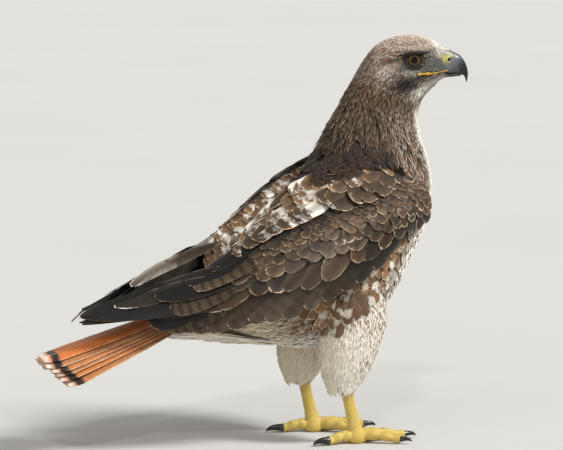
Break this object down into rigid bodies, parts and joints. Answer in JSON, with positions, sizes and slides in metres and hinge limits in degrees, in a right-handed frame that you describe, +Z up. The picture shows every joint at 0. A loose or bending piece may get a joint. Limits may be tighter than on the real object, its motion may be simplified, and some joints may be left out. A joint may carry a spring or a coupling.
{
  "type": "red tailed hawk",
  "caption": "Life-size standing hawk with folded wings, red fanned tail, hooked bill and feathered thighs, its head turned to the right.",
  "frame": {"origin": "on the ground, under the middle of the bird's bounding box", "axes": "+X the way the bird's body faces, +Y to its left, +Z up"},
  "size_m": [0.4146, 0.1518, 0.3791],
  "materials": {
    "head_brown": "small soft feathers, brown with buff edges",
    "neck_brown": "small soft feathers, grey-brown with rufous edges",
    "breast_brown": "soft feathers, rufous-brown and creamy white",
    "wing_brown": "stiff feathers, dark brown with pale fringes",
    "tail_red": "stiff feathers, brick red with a dark band",
    "leg_white": "soft feathers, creamy white with small spots",
    "cere_yellow": "smooth bare skin",
    "skin_yellow": "scaly bare skin",
    "horn_black": "polished horn",
    "eye_brown": "wet and clear"
  },
  "bodies": {
    "root": {"head": "head_brown", "neck": "neck_brown", "torso": "breast_brown", "wing_right": "wing_brown", "wing_left": "wing_brown", "tail": "tail_red", "thigh_right": "leg_white", "thigh_left": "leg_white", "cere": "cere_yellow", "bill_upper": "horn_black", "bill_lower": "horn_black", "eye_right": "eye_brown", "eye_left": "eye_brown", "tarsus_right": "skin_yellow", "foot_right": "skin_yellow", "claw_right_middle": "horn_black", "claw_right_inner": "horn_black", "claw_right_outer": "horn_black", "claw_right_hind": "horn_black", "tarsus_left": "skin_yellow", "foot_left": "skin_yellow", "claw_left_middle": "horn_black", "claw_left_inner": "horn_black", "claw_left_outer": "horn_black", "claw_left_hind": "horn_black"}
  },
  "joints": []
}
